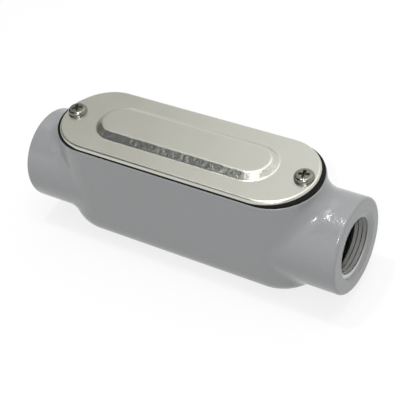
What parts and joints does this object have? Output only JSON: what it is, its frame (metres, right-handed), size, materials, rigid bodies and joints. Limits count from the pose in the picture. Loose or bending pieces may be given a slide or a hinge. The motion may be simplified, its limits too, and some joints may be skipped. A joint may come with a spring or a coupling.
{
  "type": "conduit body",
  "caption": "Straight-through cast conduit body with a threaded hub at each end, a wiring chamber, a flat gasket and a stamped screw-down cover.",
  "frame": {"origin": "on the surface it stands on, under the middle of the belly", "axes": "+X along the conduit through both hubs, +Z out of the cover, +Y across to complete a right-handed frame"},
  "size_m": [0.149, 0.0404, 0.0559],
  "materials": {
    "enamelled_casting": "gloss",
    "gasket_rubber": "matte",
    "cover_sheet": "satin",
    "screw_steel": "gloss"
  },
  "bodies": {
    "housing": {"housing": "enamelled_casting", "gasket": "gasket_rubber"},
    "cover": {"cover": "cover_sheet"},
    "screw_left": {"screw_left": "screw_steel"},
    "screw_right": {"screw_right": "screw_steel"}
  },
  "joints": [
    {"name": "cover_lift", "type": "slide", "parent": "housing", "child": "cover", "axis": [0, 0, 1], "range_m": [0, 0.04]},
    {"name": "screw_left_turn", "type": "hinge", "parent": "cover", "child": "screw_left", "pos_m": [-0.0539, 0, 0.0536], "axis": [0, 0, 1], "continuous": true},
    {"name": "screw_right_turn", "type": "hinge", "parent": "cover", "child": "screw_right", "pos_m": [0.0539, 0, 0.0536], "axis": [0, 0, 1], "continuous": true}
  ]
}
